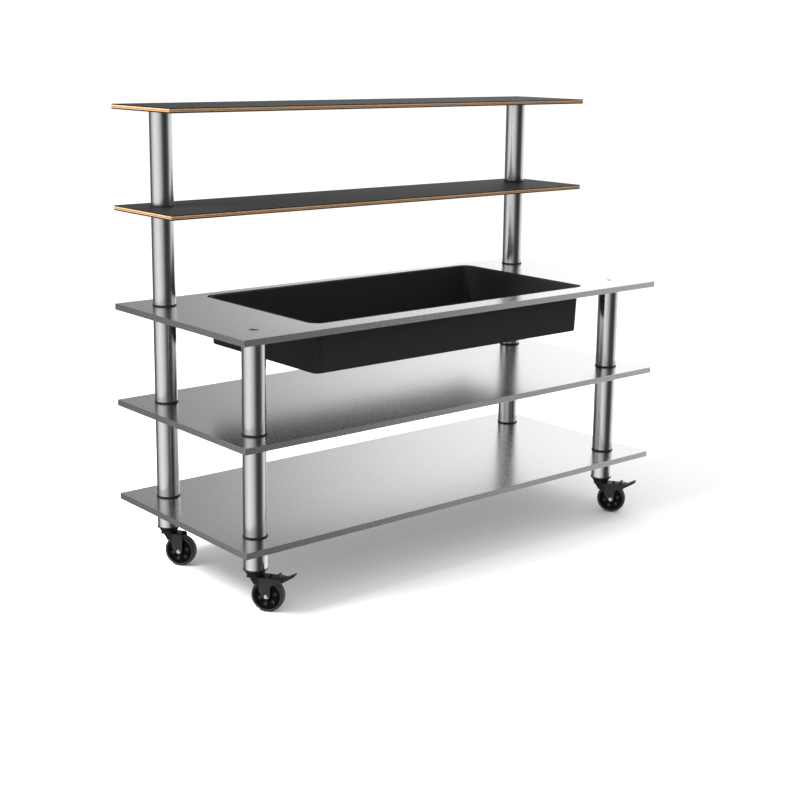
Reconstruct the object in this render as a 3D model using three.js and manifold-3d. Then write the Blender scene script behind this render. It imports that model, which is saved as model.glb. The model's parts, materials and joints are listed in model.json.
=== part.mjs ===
// A wheeled sink table for food service. Three clad decks and two rear shelves are clamped on four
// columns of short tubes by a tie rod in each column. A wash tub lifts out of the top deck, and a
// swivel castor carries each leg: the two at the front have brakes. Millimetres, +X along the
// length, +Y to the back, +Z up, with the origin on the floor at the centre of the footprint.
import * as THREE from "three";
import { mergeVertices } from "three/addons/utils/BufferGeometryUtils.js";
import Module from "manifold-3d";

const wasm = await Module();
wasm.setup();

// ---- Driving dimensions ----

const seatGap = 0.3; // between two pieces that rest on each other

// decks and shelves
const deckLength = 1800;
const deckDepth = 750;
const deckThickness = 20;
const deckSpacing = 322; // from one deck's top to the next one's
const shelfLength = 1800;
const shelfDepth = 352;
const shelfThickness = 16;
const shelfSpacing = 322; // from the top deck to the lower shelf, and on to the upper one
const shelfRearOverhang = 109; // from the rear columns' axes to a shelf's rear edge

// columns
const columnDiameter = 74;
const columnWall = 2;
const columnInsetX = 114; // from a column's axis to the deck's end
const columnInsetY = 120; // from a column's axis to the deck's front or rear edge
const legLength = 88; // from the bottom deck's underside to the leg cap's underside

// gasket rings, one under the foot of each tube that stands on a deck or shelf
const ringOverhang = 1.5; // how far a ring stands out past its tube
const ringThickness = 5;
const ringSeatDepth = 1;
const ringSeatClearance = 0.5;
const ringBand = 8; // how far a ring reaches in past the tube's bore

// tie rods, each with a flat head let into the board on top of its column
const rodDiameter = 16;
const rodClearance = 0.6;
const rodHeadDiameter = 30;
const rodHeadThickness = 4;
const rodHeadClearance = 0.5;
const rodHeadDepth = 1; // from the board's top down to the head's top

// wash tub
const tubMarginLeft = 307; // from the deck's left end to the tub's lip, and so on round
const tubMarginRight = 285;
const tubMarginFront = 76;
const tubMarginBack = 42;
const tubHeight = 163;
const tubWall = 4;
const tubDraft = 7; // how far each wall leans in from the lip to the floor
const tubCornerRadius = 42;
const tubFloorRadius = 6;
const lipWidth = 12;
const lipThickness = 2;
const lipClearance = 0.8; // between the lip's edge and its rebate in the deck
const cutoutClearance = 2; // between the tub's wall and the deck's cut-out

// drain in the tub's floor
const drainBore = 34;
const drainSleeveWall = 4;
const drainSleeveLength = 34; // below the tub's underside
const drainFlangeDiameter = 66;
const drainFlangeThickness = 2;
const drainClearance = 0.4;
const drainNutDiameter = 62;
const drainNutThickness = 9;

// leg caps with their kingpins
const capRimThickness = 5;
const capRimOverhang = 1.5; // how far the rim stands out past the tube
const capSpigotLength = 15;
const capSpigotClearance = 0.5;
const capSocketDepth = 11;
const kingpinDiameter = 12;
const kingpinHeadDiameter = 19;
const kingpinHeadThickness = 3.4;

// castors; their own x runs along the trail, from the kingpin to past the axle
const castorHeading = THREE.MathUtils.degToRad(-55);
const castorTrail = 42; // from the kingpin's axis to the axle's
const wheelRadius = 52;
const wheelTread = 32;
const tyreDepth = 8.7;
const tyreShoulder = 4;
const tyreBeadInset = 1; // how much narrower the tyre is at its bore
const hubWidth = 34;
const hubRimWidth = 29;
const hubRimDepth = 7;
const hubWebWidth = 14;
const hubBossRadius = 14;
const hubSlope = 2; // how far the boss and the rim flare towards the web
const hubGap = 0.3; // between the hub's rim and the tyre
const axleDiameter = 10;
const axleClearance = 0.4;
const axleHeadRadius = 8;
const axleHeadThickness = 5.5;
const forkClearance = 2; // between the hub's end and the fork's cheek
const forkThickness = 3;
const forkWheelGap = 4.5; // between the top of the wheel and the fork's crown
const forkBackX = -22;
const forkCrownEndX = 44;
const forkSkirtEndX = 90;
const forkSkirtDrop = 19;
const forkEyeRadius = 15; // of the cheek's rounded end about the axle
const forkEyeStart = 1.15 * Math.PI; // where the eye's round begins, in radians
const forkBackReach = 20; // from the eye's rear back to the foot of the sloping back
const forkBackRise = 14; // from the axle up to that foot
const forkSkirtInset = 2; // from the eye's front back to the skirt's inner corner
const forkSkirtBevelX = 3; // of the skirt's lower front corner
const forkSkirtBevelZ = 4;
const swivelRadius = 31;
const swivelHeight = 16;
const swivelTaper = 4; // how much narrower the swivel head is at its foot
const swivelShoulder = 5; // how much narrower it is at its top
const swivelShoulderHeight = 4;
const swivelBand = 3; // height of its widest part
const swivelGap = 3; // between the swivel head and the leg cap
const kingpinClearance = 0.6;
const pedalPivotX = 62;
const pedalPivotDrop = 5; // from the crown's top down to the pedal's pin
const pedalPinDiameter = 6;
const pedalPinClearance = 0.4;
const pedalSideClearance = 2.5; // between the pedal and the fork's cheeks
const pedalReach = 131; // from the kingpin's axis to the pedal's tip
const pedalRise = 1; // from the fork's crown up to the pedal's top
const pedalHeel = 9; // behind the pin's axis
const pedalHeelDepth = 4;
const pedalArmDepth = 8;
const pedalArmStartX = -3; // from the pin's axis, as are the pedal's next places along the trail
const pedalArmEndX = 10;
const pedalWebStartX = 22;
const pedalWebEndX = 30;
const pedalWebDepth = 15;
const pedalWebRise = 1; // of the web's foot towards the tip
const pedalRidgeStartX = 8;
const pedalRidgeTopX = 12;
const pedalRidgeTopEndX = 18;
const pedalRidgeEndX = 21;
const pedalRidgeHeight = 8;
const pedalTipStart = 28; // from the tip back to where it turns up
const pedalTipUnderside = 22; // from the tip back to where its underside turns up
const pedalTipRise = 13;
const pedalTipThickness = 3;
const pedalTipDepth = 4; // below the pedal's top, where the underside turns up

// ---- Heights and places that follow ----

const forkCrownBottom = 2 * wheelRadius + forkWheelGap;
const forkCrownTop = forkCrownBottom + forkThickness;
const swivelTop = forkCrownTop + swivelHeight;
const capBottom = swivelTop + swivelGap;
const bottomDeckTop = capBottom + legLength + deckThickness;
const middleDeckTop = bottomDeckTop + deckSpacing;
const topDeckTop = middleDeckTop + deckSpacing;
const lowerShelfTop = topDeckTop + shelfSpacing;
const upperShelfTop = lowerShelfTop + shelfSpacing;

const columnRadius = columnDiameter / 2;
const columnBore = columnRadius - columnWall;
const columnX = deckLength / 2 - columnInsetX;
const columnY = deckDepth / 2 - columnInsetY;
const shelfCentreY = columnY + shelfRearOverhang - shelfDepth / 2;

const tubLength = deckLength - tubMarginLeft - tubMarginRight;
const tubDepth = deckDepth - tubMarginFront - tubMarginBack;
const tubX = (tubMarginLeft - tubMarginRight) / 2;
const tubY = (tubMarginFront - tubMarginBack) / 2;
const tubUnderside = topDeckTop - tubHeight;
const tubFloor = tubUnderside + tubWall;

const cheekInside = hubWidth / 2 + forkClearance;
const cheekOutside = cheekInside + forkThickness;
const pedalPivotZ = forkCrownTop - pedalPivotDrop;

const corners = [
  { name: "front_left", x: -columnX, y: -columnY, rear: false },
  { name: "front_right", x: columnX, y: -columnY, rear: false },
  { name: "rear_left", x: -columnX, y: columnY, rear: true },
  { name: "rear_right", x: columnX, y: columnY, rear: true },
];

const columnSegments = 16;
const wheelSegments = 20;
const pinSegments = 12;
const hexSides = 6;
const cornerSegments = 6;

// ---- Materials ----

function finish(color, roughness, metalness) {
  return new THREE.MeshStandardMaterial({ color, roughness, metalness });
}

const deckSteel = finish(0xb4b6b8, 0.3, 1);
const tubeSteel = finish(0xc4c6c8, 0.28, 1);
const rodSteel = finish(0x55585a, 0.5, 0.8);
const filmPlywood = finish(0x3c3c3d, 0.45, 0);
const ringRubber = finish(0x1c1817, 0.7, 0);
const capPlastic = finish(0x1d1d1e, 0.55, 0);
const tubFinish = finish(0x202122, 0.55, 0);
const drainSteel = finish(0xa8aaac, 0.3, 1);
const forkPaint = finish(0x46494a, 0.5, 0.3);
const pedalPlastic = finish(0x2c2e2f, 0.55, 0);
const hubPlastic = finish(0x141415, 0.4, 0);
const tyreRubber = finish(0x3f3733, 0.75, 0);

// ---- Solids ----

// A closed geometry as a solid that can be joined and cut.
function solid(geometry) {
  const bare = geometry.index ? geometry.toNonIndexed() : geometry.clone();
  bare.deleteAttribute("normal");
  bare.deleteAttribute("uv");
  const merged = mergeVertices(bare, 1e-3);
  return new wasm.Manifold(
    new wasm.Mesh({
      numProp: 3,
      vertProperties: merged.attributes.position.array,
      triVerts: new Uint32Array(merged.index.array),
    }),
  );
}

// A solid back as a geometry with flat shading.
function geometryOf(made) {
  const mesh = made.getMesh();
  const indexed = new THREE.BufferGeometry();
  indexed.setAttribute("position", new THREE.BufferAttribute(mesh.vertProperties, 3));
  indexed.setIndex(new THREE.BufferAttribute(mesh.triVerts, 1));
  const geometry = indexed.toNonIndexed();
  geometry.computeVertexNormals();
  return geometry;
}

function block(x0, x1, y0, y1, z0, z1) {
  const box = new THREE.BoxGeometry(x1 - x0, y1 - y0, z1 - z0);
  return box.translate((x0 + x1) / 2, (y0 + y1) / 2, (z0 + z1) / 2);
}

function uprightCylinder(x, y, radius, z0, z1, segments = columnSegments) {
  const cylinder = new THREE.CylinderGeometry(radius, radius, z1 - z0, segments);
  return cylinder.rotateX(Math.PI / 2).translate(x, y, (z0 + z1) / 2);
}

function crossCylinder(x, z, radius, halfWidth, segments = pinSegments) {
  const cylinder = new THREE.CylinderGeometry(radius, radius, 2 * halfWidth, segments);
  return cylinder.translate(x, 0, z);
}

// A turned piece on the z axis, from [radius, z] points listed anticlockwise, bottom first.
function turned(profile, segments = columnSegments) {
  const points = profile.map(([radius, z]) => new THREE.Vector2(radius, z));
  return new THREE.LatheGeometry(points, segments).rotateX(Math.PI / 2);
}

// A ring with a rectangular section, standing on z0.
function ring(innerRadius, outerRadius, z0, z1, segments = columnSegments) {
  const section = [
    [innerRadius, z0],
    [outerRadius, z0],
    [outerRadius, z1],
    [innerRadius, z1],
    [innerRadius, z0],
  ];
  return turned(section, segments);
}

function roundedRectangle(length, depth, radius) {
  const x = length / 2 - radius;
  const y = depth / 2 - radius;
  const shape = new THREE.Shape();
  shape.absarc(x, -y, radius, -Math.PI / 2, 0);
  shape.absarc(x, y, radius, 0, Math.PI / 2);
  shape.absarc(-x, y, radius, Math.PI / 2, Math.PI);
  shape.absarc(-x, -y, radius, Math.PI, 1.5 * Math.PI);
  shape.closePath();
  return shape;
}

function roundedSlab(length, depth, radius, z0, z1) {
  const shape = roundedRectangle(length, depth, radius);
  const options = { depth: z1 - z0, bevelEnabled: false, curveSegments: cornerSegments };
  return new THREE.ExtrudeGeometry(shape, options).translate(0, 0, z0);
}

// An outline in the castor's x and z, given a width across it.
function crossExtrusion(shape, y0, y1) {
  const options = { depth: y1 - y0, bevelEnabled: false, curveSegments: cornerSegments };
  return new THREE.ExtrudeGeometry(shape, options).rotateX(Math.PI / 2).translate(0, y1, 0);
}

// A skin through rounded rectangles that are stacked in order, closed flat at both ends.
function loft(sections) {
  const rows = sections.map(({ length, depth, radius, z }) => {
    const outline = roundedRectangle(length, depth, radius).getPoints(cornerSegments);
    return outline.slice(0, -1).map((point) => new THREE.Vector3(point.x, point.y, z));
  });
  const count = rows[0].length;
  const triangles = [];
  for (let row = 1; row < rows.length; row += 1) {
    for (let i = 0; i < count; i += 1) {
      const next = (i + 1) % count;
      triangles.push(rows[row - 1][i], rows[row - 1][next], rows[row][next]);
      triangles.push(rows[row - 1][i], rows[row][next], rows[row][i]);
    }
  }
  const firstRow = rows[0];
  const lastRow = rows[rows.length - 1];
  for (let i = 2; i < count; i += 1) {
    triangles.push(firstRow[0], firstRow[i], firstRow[i - 1]);
    triangles.push(lastRow[0], lastRow[i - 1], lastRow[i]);
  }
  return new THREE.BufferGeometry().setFromPoints(triangles);
}

// ---- The table ----

const table = new THREE.Group();

function add(name, geometry, material, parent = table) {
  const mesh = new THREE.Mesh(geometry, material);
  mesh.name = name;
  parent.add(mesh);
  return mesh;
}

// Cuts a rod hole and, where a column stands on the board, the ring's seat. The board that ends a
// column has a pocket for the rod's head instead.
function drillForColumn(board, { x, y }, top, thickness, endsHere) {
  const holeRadius = rodDiameter / 2 + rodClearance;
  const seatRadius = columnRadius + ringOverhang + ringSeatClearance;
  const headRadius = rodHeadDiameter / 2 + rodHeadClearance;
  const pocketRadius = endsHere ? headRadius : seatRadius;
  const pocketDepth = endsHere ? rodHeadDepth + rodHeadThickness + seatGap : ringSeatDepth;
  const hole = uprightCylinder(x, y, holeRadius, top - thickness - 1, top + 1);
  const pocket = uprightCylinder(x, y, pocketRadius, top - pocketDepth, top + 1);
  return board.subtract(solid(hole)).subtract(solid(pocket));
}

function deckBoard(top) {
  const board = block(
    -deckLength / 2,
    deckLength / 2,
    -deckDepth / 2,
    deckDepth / 2,
    top - deckThickness,
    top,
  );
  return solid(board);
}

function plainDeck(name, top) {
  let board = deckBoard(top);
  for (const corner of corners) {
    board = drillForColumn(board, corner, top, deckThickness, false);
  }
  add(name, geometryOf(board), deckSteel);
}

function topDeck() {
  let board = deckBoard(topDeckTop);
  for (const corner of corners) {
    board = drillForColumn(board, corner, topDeckTop, deckThickness, !corner.rear);
  }
  const cutLength = tubLength - 2 * lipWidth + 2 * cutoutClearance;
  const cutDepth = tubDepth - 2 * lipWidth + 2 * cutoutClearance;
  const cutRadius = tubCornerRadius - lipWidth + cutoutClearance;
  const underside = topDeckTop - deckThickness;
  const cutout = roundedSlab(cutLength, cutDepth, cutRadius, underside - 1, topDeckTop + 1);
  const rebate = roundedSlab(
    tubLength + 2 * lipClearance,
    tubDepth + 2 * lipClearance,
    tubCornerRadius + lipClearance,
    topDeckTop - lipThickness - seatGap,
    topDeckTop + 1,
  );
  board = board.subtract(solid(cutout.translate(tubX, tubY, 0)));
  board = board.subtract(solid(rebate.translate(tubX, tubY, 0)));
  add("top_deck", geometryOf(board), deckSteel);
}

function shelf(name, top, endsHere) {
  const front = shelfCentreY - shelfDepth / 2;
  const back = shelfCentreY + shelfDepth / 2;
  const halfLength = shelfLength / 2;
  let board = solid(block(-halfLength, halfLength, front, back, top - shelfThickness, top));
  for (const corner of corners.filter((each) => each.rear)) {
    board = drillForColumn(board, corner, top, shelfThickness, endsHere);
  }
  add(name, geometryOf(board), filmPlywood);
}

plainDeck("bottom_deck", bottomDeckTop);
plainDeck("middle_deck", middleDeckTop);
topDeck();
shelf("lower_shelf", lowerShelfTop, false);
shelf("upper_shelf", upperShelfTop, true);

// ---- Columns ----

// Each bay is one tube that stands on a ring on the board below and ends under the board above.
const bays = [
  { name: "lower", from: bottomDeckTop, to: middleDeckTop - deckThickness, rearOnly: false },
  { name: "upper", from: middleDeckTop, to: topDeckTop - deckThickness, rearOnly: false },
  { name: "shelf", from: topDeckTop, to: lowerShelfTop - shelfThickness, rearOnly: true },
  { name: "crown", from: lowerShelfTop, to: upperShelfTop - shelfThickness, rearOnly: true },
];

function columnTube(name, x, y, z0, z1) {
  add(name, ring(columnBore, columnRadius, z0, z1), tubeSteel).position.set(x, y, 0);
}

function legCap(corner) {
  const spigotRadius = columnBore - capSpigotClearance;
  const socketRadius = rodDiameter / 2 + rodClearance;
  const spigotTop = capBottom + capRimThickness + capSpigotLength;
  const pinHeadTop = forkCrownBottom - kingpinClearance;
  const profile = [
    [0, pinHeadTop - kingpinHeadThickness],
    [kingpinHeadDiameter / 2, pinHeadTop - kingpinHeadThickness],
    [kingpinHeadDiameter / 2, pinHeadTop],
    [kingpinDiameter / 2, pinHeadTop],
    [kingpinDiameter / 2, capBottom],
    [columnRadius + capRimOverhang, capBottom],
    [columnRadius + capRimOverhang, capBottom + capRimThickness],
    [spigotRadius, capBottom + capRimThickness],
    [spigotRadius, spigotTop],
    [socketRadius, spigotTop],
    [socketRadius, spigotTop - capSocketDepth],
    [0, spigotTop - capSocketDepth],
  ];
  const cap = add(`leg_cap_${corner.name}`, turned(profile), capPlastic);
  cap.position.set(corner.x, corner.y, 0);
}

function tieRod(corner) {
  const boardTop = corner.rear ? upperShelfTop : topDeckTop;
  const socketFloor = capBottom + capRimThickness + capSpigotLength - capSocketDepth;
  const headTop = boardTop - rodHeadDepth;
  const profile = [
    [0, socketFloor + seatGap],
    [rodDiameter / 2, socketFloor + seatGap],
    [rodDiameter / 2, headTop - rodHeadThickness],
    [rodHeadDiameter / 2, headTop - rodHeadThickness],
    [rodHeadDiameter / 2, headTop],
    [0, headTop],
  ];
  const rod = add(`tie_rod_${corner.name}`, turned(profile), rodSteel);
  rod.position.set(corner.x, corner.y, 0);
}

for (const corner of corners) {
  const legTop = bottomDeckTop - deckThickness - seatGap;
  const legFoot = capBottom + capRimThickness + seatGap;
  columnTube(`leg_tube_${corner.name}`, corner.x, corner.y, legFoot, legTop);
  for (const bay of bays.filter((each) => corner.rear || !each.rearOnly)) {
    const ringFoot = bay.from - ringSeatDepth + seatGap;
    const ringTop = ringFoot + ringThickness;
    const section = ring(columnBore - ringBand, columnRadius + ringOverhang, ringFoot, ringTop);
    const gasket = add(`ring_${bay.name}_${corner.name}`, section, ringRubber);
    gasket.position.set(corner.x, corner.y, 0);
    const tubeName = `${bay.name}_tube_${corner.name}`;
    columnTube(tubeName, corner.x, corner.y, ringTop + seatGap, bay.to - seatGap);
  }
  legCap(corner);
  tieRod(corner);
}

// ---- Wash tub and drain ----

// The tub's outline drawn in by some distance, at some height.
function tubSection(inset, z) {
  return {
    length: tubLength - 2 * inset,
    depth: tubDepth - 2 * inset,
    radius: Math.max(tubCornerRadius - inset, tubFloorRadius),
    z,
  };
}

// One wall's run from the floor up: the floor's round, then the leaning wall.
function wallSections(bottomInset, bottomZ, topInset, topZ, floorRadius) {
  const steps = 3;
  const sections = [];
  for (let step = 0; step <= steps; step += 1) {
    const turn = (step / steps) * (Math.PI / 2);
    const inset = bottomInset + floorRadius * (1 - Math.sin(turn));
    sections.push(tubSection(inset, bottomZ + floorRadius * (1 - Math.cos(turn))));
  }
  sections.push(tubSection(topInset, topZ));
  return sections;
}

function washTub() {
  const outside = wallSections(
    lipWidth + tubDraft,
    tubUnderside,
    lipWidth,
    topDeckTop - lipThickness,
    tubFloorRadius,
  );
  const lip = [tubSection(0, topDeckTop - lipThickness), tubSection(0, topDeckTop)];
  const inside = wallSections(
    lipWidth + tubDraft + tubWall,
    tubFloor,
    lipWidth + tubWall,
    topDeckTop,
    tubFloorRadius - tubWall,
  );
  const shell = solid(loft([...outside, ...lip, ...inside.reverse()]));
  const holeRadius = drainBore / 2 + drainSleeveWall + drainClearance;
  const hole = uprightCylinder(0, 0, holeRadius, tubUnderside - 1, tubFloor + 1);
  add("wash_tub", geometryOf(shell.subtract(solid(hole))), tubFinish).position.set(tubX, tubY, 0);
}

function drain() {
  const bore = drainBore / 2;
  const sleeve = bore + drainSleeveWall;
  const flangeFoot = tubFloor + seatGap;
  const flangeTop = flangeFoot + drainFlangeThickness;
  const sleeveFoot = tubUnderside - drainSleeveLength;
  const flangeProfile = [
    [bore, sleeveFoot],
    [sleeve, sleeveFoot],
    [sleeve, flangeFoot],
    [drainFlangeDiameter / 2, flangeFoot],
    [drainFlangeDiameter / 2, flangeTop],
    [bore, flangeTop],
    [bore, sleeveFoot],
  ];
  add("drain_flange", turned(flangeProfile), drainSteel).position.set(tubX, tubY, 0);
  const nutTop = tubUnderside - seatGap;
  const nut = ring(
    sleeve + drainClearance,
    drainNutDiameter / 2,
    nutTop - drainNutThickness,
    nutTop,
  );
  add("drain_nut", nut, capPlastic).position.set(tubX, tubY, 0);
}

washTub();
drain();

// ---- Castors ----

// The fork's cheek: a sloping back and a rounded eye about the axle. A braked castor's cheek has a
// skirt over the wheel as well, which holds the pedal's pin.
function cheekOutline(braked) {
  const legFront = castorTrail + forkEyeRadius - forkSkirtInset;
  const skirtFoot = forkCrownTop - forkSkirtDrop;
  const shape = new THREE.Shape();
  shape.moveTo(forkCrownEndX, forkCrownTop);
  shape.lineTo(forkBackX, forkCrownTop);
  shape.lineTo(castorTrail - forkEyeRadius - forkBackReach, wheelRadius + forkBackRise);
  shape.absarc(castorTrail, wheelRadius, forkEyeRadius, forkEyeStart, 2 * Math.PI);
  shape.lineTo(legFront, skirtFoot);
  if (braked) {
    shape.lineTo(forkSkirtEndX - forkSkirtBevelX, skirtFoot);
    shape.lineTo(forkSkirtEndX, skirtFoot + forkSkirtBevelZ);
    shape.lineTo(forkSkirtEndX, forkCrownTop);
  } else {
    shape.lineTo(legFront, forkCrownTop);
  }
  shape.closePath();
  return shape;
}

function fork(braked) {
  const crown = block(
    forkBackX,
    forkCrownEndX,
    -cheekOutside,
    cheekOutside,
    forkCrownBottom,
    forkCrownTop,
  );
  const head = [
    [0, forkCrownBottom],
    [swivelRadius - swivelTaper, forkCrownBottom],
    [swivelRadius, swivelTop - swivelShoulderHeight - swivelBand],
    [swivelRadius, swivelTop - swivelShoulderHeight],
    [swivelRadius - swivelShoulder, swivelTop],
    [0, swivelTop],
  ];
  const axleHalf = cheekOutside + axleHeadThickness;
  const headCentre = cheekOutside + axleHeadThickness / 2;
  let made = solid(crown).add(solid(turned(head)));
  for (const side of [-1, 1]) {
    const inner = side * cheekInside;
    const outer = side * cheekOutside;
    const outline = cheekOutline(braked);
    const cheek = crossExtrusion(outline, Math.min(inner, outer), Math.max(inner, outer));
    const halfHead = axleHeadThickness / 2;
    const boltHead = crossCylinder(castorTrail, wheelRadius, axleHeadRadius, halfHead, hexSides);
    made = made.add(solid(cheek)).add(solid(boltHead.translate(0, side * headCentre, 0)));
  }
  made = made.add(solid(crossCylinder(castorTrail, wheelRadius, axleDiameter / 2, axleHalf - 1)));
  const kingpinBore = kingpinDiameter / 2 + kingpinClearance;
  made = made.subtract(
    solid(uprightCylinder(0, 0, kingpinBore, forkCrownBottom - 1, swivelTop + 1)),
  );
  if (!braked) {
    return made;
  }
  const pinBore = pedalPinDiameter / 2 + pedalPinClearance;
  return made.subtract(
    solid(crossCylinder(pedalPivotX, pedalPivotZ, pinBore, cheekOutside + 1)),
  );
}

function hub() {
  const outer = wheelRadius - tyreDepth - hubGap;
  const bore = axleDiameter / 2 + axleClearance;
  const half = [
    [bore, hubWidth / 2],
    [hubBossRadius, hubWidth / 2],
    [hubBossRadius + hubSlope, hubWebWidth / 2],
    [outer - hubRimDepth, hubWebWidth / 2],
    [outer - hubRimDepth + hubSlope, hubRimWidth / 2],
    [outer, hubRimWidth / 2],
  ];
  const lowerHalf = half.map(([radius, z]) => [radius, -z]);
  const profile = [...lowerHalf, ...half.reverse(), lowerHalf[0]];
  return turned(profile, wheelSegments);
}

// The tyre's flats, not its corners, lie on the wheel's radius, so that it stands on a flat.
function tyre() {
  const outer = wheelRadius / Math.cos(Math.PI / wheelSegments);
  const inner = wheelRadius - tyreDepth;
  const half = wheelTread / 2;
  const profile = [
    [inner, -half + tyreBeadInset],
    [outer - tyreShoulder, -half],
    [outer, -half + tyreShoulder],
    [outer, half - tyreShoulder],
    [outer - tyreShoulder, half],
    [inner, half - tyreBeadInset],
    [inner, -half + tyreBeadInset],
  ];
  return turned(profile, wheelSegments);
}

// The pedal's side view, from its heel along the underside to the tip and back along the top.
function pedalOutline() {
  const x = pedalPivotX;
  const top = forkCrownTop + pedalRise;
  const shape = new THREE.Shape();
  shape.moveTo(x - pedalHeel, top);
  shape.lineTo(x - pedalHeel, top - pedalHeelDepth);
  shape.lineTo(x + pedalArmStartX, top - pedalArmDepth);
  shape.lineTo(x + pedalArmEndX, top - pedalArmDepth);
  shape.lineTo(x + pedalWebStartX, top - pedalWebDepth);
  shape.lineTo(x + pedalWebEndX, top - pedalWebDepth + pedalWebRise);
  shape.lineTo(pedalReach - pedalTipUnderside, top - pedalTipDepth);
  shape.lineTo(pedalReach, top + pedalTipRise - pedalTipThickness);
  shape.lineTo(pedalReach - pedalTipThickness, top + pedalTipRise);
  shape.lineTo(pedalReach - pedalTipStart, top);
  shape.lineTo(x + pedalRidgeEndX, top);
  shape.lineTo(x + pedalRidgeTopEndX, top + pedalRidgeHeight);
  shape.lineTo(x + pedalRidgeTopX, top + pedalRidgeHeight);
  shape.lineTo(x + pedalRidgeStartX, top);
  shape.closePath();
  return shape;
}

function pedal() {
  const halfWidth = cheekInside - pedalSideClearance;
  const pinHalfLength = cheekOutside - seatGap;
  const pin = crossCylinder(pedalPivotX, pedalPivotZ, pedalPinDiameter / 2, pinHalfLength);
  return solid(crossExtrusion(pedalOutline(), -halfWidth, halfWidth)).add(solid(pin));
}

function castor(corner) {
  const group = new THREE.Group();
  group.position.set(corner.x, corner.y, 0);
  group.rotation.z = castorHeading;
  table.add(group);
  const braked = !corner.rear;
  add(`castor_fork_${corner.name}`, geometryOf(fork(braked)), forkPaint, group);
  if (braked) {
    add(`brake_pedal_${corner.name}`, geometryOf(pedal()), pedalPlastic, group);
  }
  const halfStep = Math.PI / wheelSegments;
  for (const [name, geometry, material] of [
    ["castor_hub", hub(), hubPlastic],
    ["castor_tyre", tyre(), tyreRubber],
  ]) {
    const piece = add(`${name}_${corner.name}`, geometry.rotateZ(halfStep), material, group);
    piece.rotation.x = Math.PI / 2;
    piece.position.set(castorTrail, 0, wheelRadius);
  }
}

for (const corner of corners) {
  castor(corner);
}

export default table;
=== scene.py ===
# %% [markdown]
# # A wheeled sink table, dressed for the studio
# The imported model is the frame: it fixes every size, place and joint. This lesson builds the pieces
# that are seen around it, one material and one kind of piece at a time, and hides the plain solid
# that each one stands for. Round pieces get many more sides, sheet metal gets its edges and bends,
# and every surface gets a finish made of nodes.

# %% Load the frame
import json
import math

import bmesh
import bpy
from mathutils import Matrix, Vector


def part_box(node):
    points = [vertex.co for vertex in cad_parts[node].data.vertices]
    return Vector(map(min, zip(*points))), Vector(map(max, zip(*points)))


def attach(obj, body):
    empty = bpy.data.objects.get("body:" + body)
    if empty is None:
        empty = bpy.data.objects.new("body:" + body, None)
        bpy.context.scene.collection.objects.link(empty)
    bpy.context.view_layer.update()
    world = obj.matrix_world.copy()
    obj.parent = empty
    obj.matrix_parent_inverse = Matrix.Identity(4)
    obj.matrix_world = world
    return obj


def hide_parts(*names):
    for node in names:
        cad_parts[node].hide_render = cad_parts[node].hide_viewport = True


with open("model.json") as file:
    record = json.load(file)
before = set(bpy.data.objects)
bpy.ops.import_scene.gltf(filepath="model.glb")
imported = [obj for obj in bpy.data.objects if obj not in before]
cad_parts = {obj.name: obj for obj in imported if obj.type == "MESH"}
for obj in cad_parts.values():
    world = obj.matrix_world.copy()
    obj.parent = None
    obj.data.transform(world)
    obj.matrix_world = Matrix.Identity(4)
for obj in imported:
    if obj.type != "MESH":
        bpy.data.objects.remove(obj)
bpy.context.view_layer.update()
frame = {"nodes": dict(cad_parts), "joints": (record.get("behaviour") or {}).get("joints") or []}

joints = {joint["name"]: joint for joint in frame["joints"]}
corners = sorted(name.removeprefix("castor_fork_") for name in frame["nodes"] if "fork" in name)

# %% [markdown]
# ## Camera
# The camera stands in front of the table's left end, a little above the work top, with a long lens,
# so that the decks run away to the right with gentle perspective. A small downward shift keeps the
# uprights nearly upright, as a shift lens does.

# %% Camera
CAMERA_PLACE = (-3.14575, -3.73177, 1.71657)  # metres
CAMERA_BEARING = 0.6987  # radians, from the +Y axis round towards +X
CAMERA_DIP = 0.1998  # radians below the horizon
CAMERA_ROLL = 0.0119  # radians
CAMERA_LENS = 64.37  # millimetres, for a sensor 36 mm wide
CAMERA_SHIFT = (0.0031, -0.0807)  # as a share of the sensor's width


def new_object(name, data):
    made = bpy.data.objects.new(name, data)
    bpy.context.scene.collection.objects.link(made)
    return made


camera_data = bpy.data.cameras.new("camera")
camera_data.sensor_width = 36
camera_data.lens = CAMERA_LENS
camera_data.shift_x, camera_data.shift_y = CAMERA_SHIFT
camera = new_object("camera", camera_data)
camera.matrix_world = (
    Matrix.Translation(CAMERA_PLACE)
    @ Matrix.Rotation(-CAMERA_BEARING, 4, "Z")
    @ Matrix.Rotation(math.pi / 2 - CAMERA_DIP, 4, "X")
    @ Matrix.Rotation(CAMERA_ROLL, 4, "Z")
)
bpy.context.scene.camera = camera
print("camera at", tuple(camera.location))

# %% [markdown]
# ## Nodes and colours
# Materials, the studio's surroundings and the repeated pieces are all node trees. One function adds
# a node: it sets the node's own settings, then fills its inputs with plain values or with other
# nodes' outputs. Colours are written as sRGB hex, as a paint chart gives them, and Blender wants
# linear light, so one function converts them.

# %% Two helpers for nodes and colours
def add_node(tree, kind, inputs=None, **settings):
    node = tree.nodes.new(kind)
    for name, value in settings.items():
        setattr(node, name, value)
    for key, value in (inputs or {}).items():
        if isinstance(value, bpy.types.NodeSocket):
            tree.links.new(value, node.inputs[key])
        else:
            node.inputs[key].default_value = value
    return node


def linear(hex_colour):
    channels = [int(hex_colour[i : i + 2], 16) / 255 for i in (1, 3, 5)]
    return [c / 12.92 if c <= 0.04045 else ((c + 0.055) / 1.055) ** 2.4 for c in channels] + [1]


print("mid grey in linear light:", [round(channel, 3) for channel in linear("#808080")])

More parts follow.
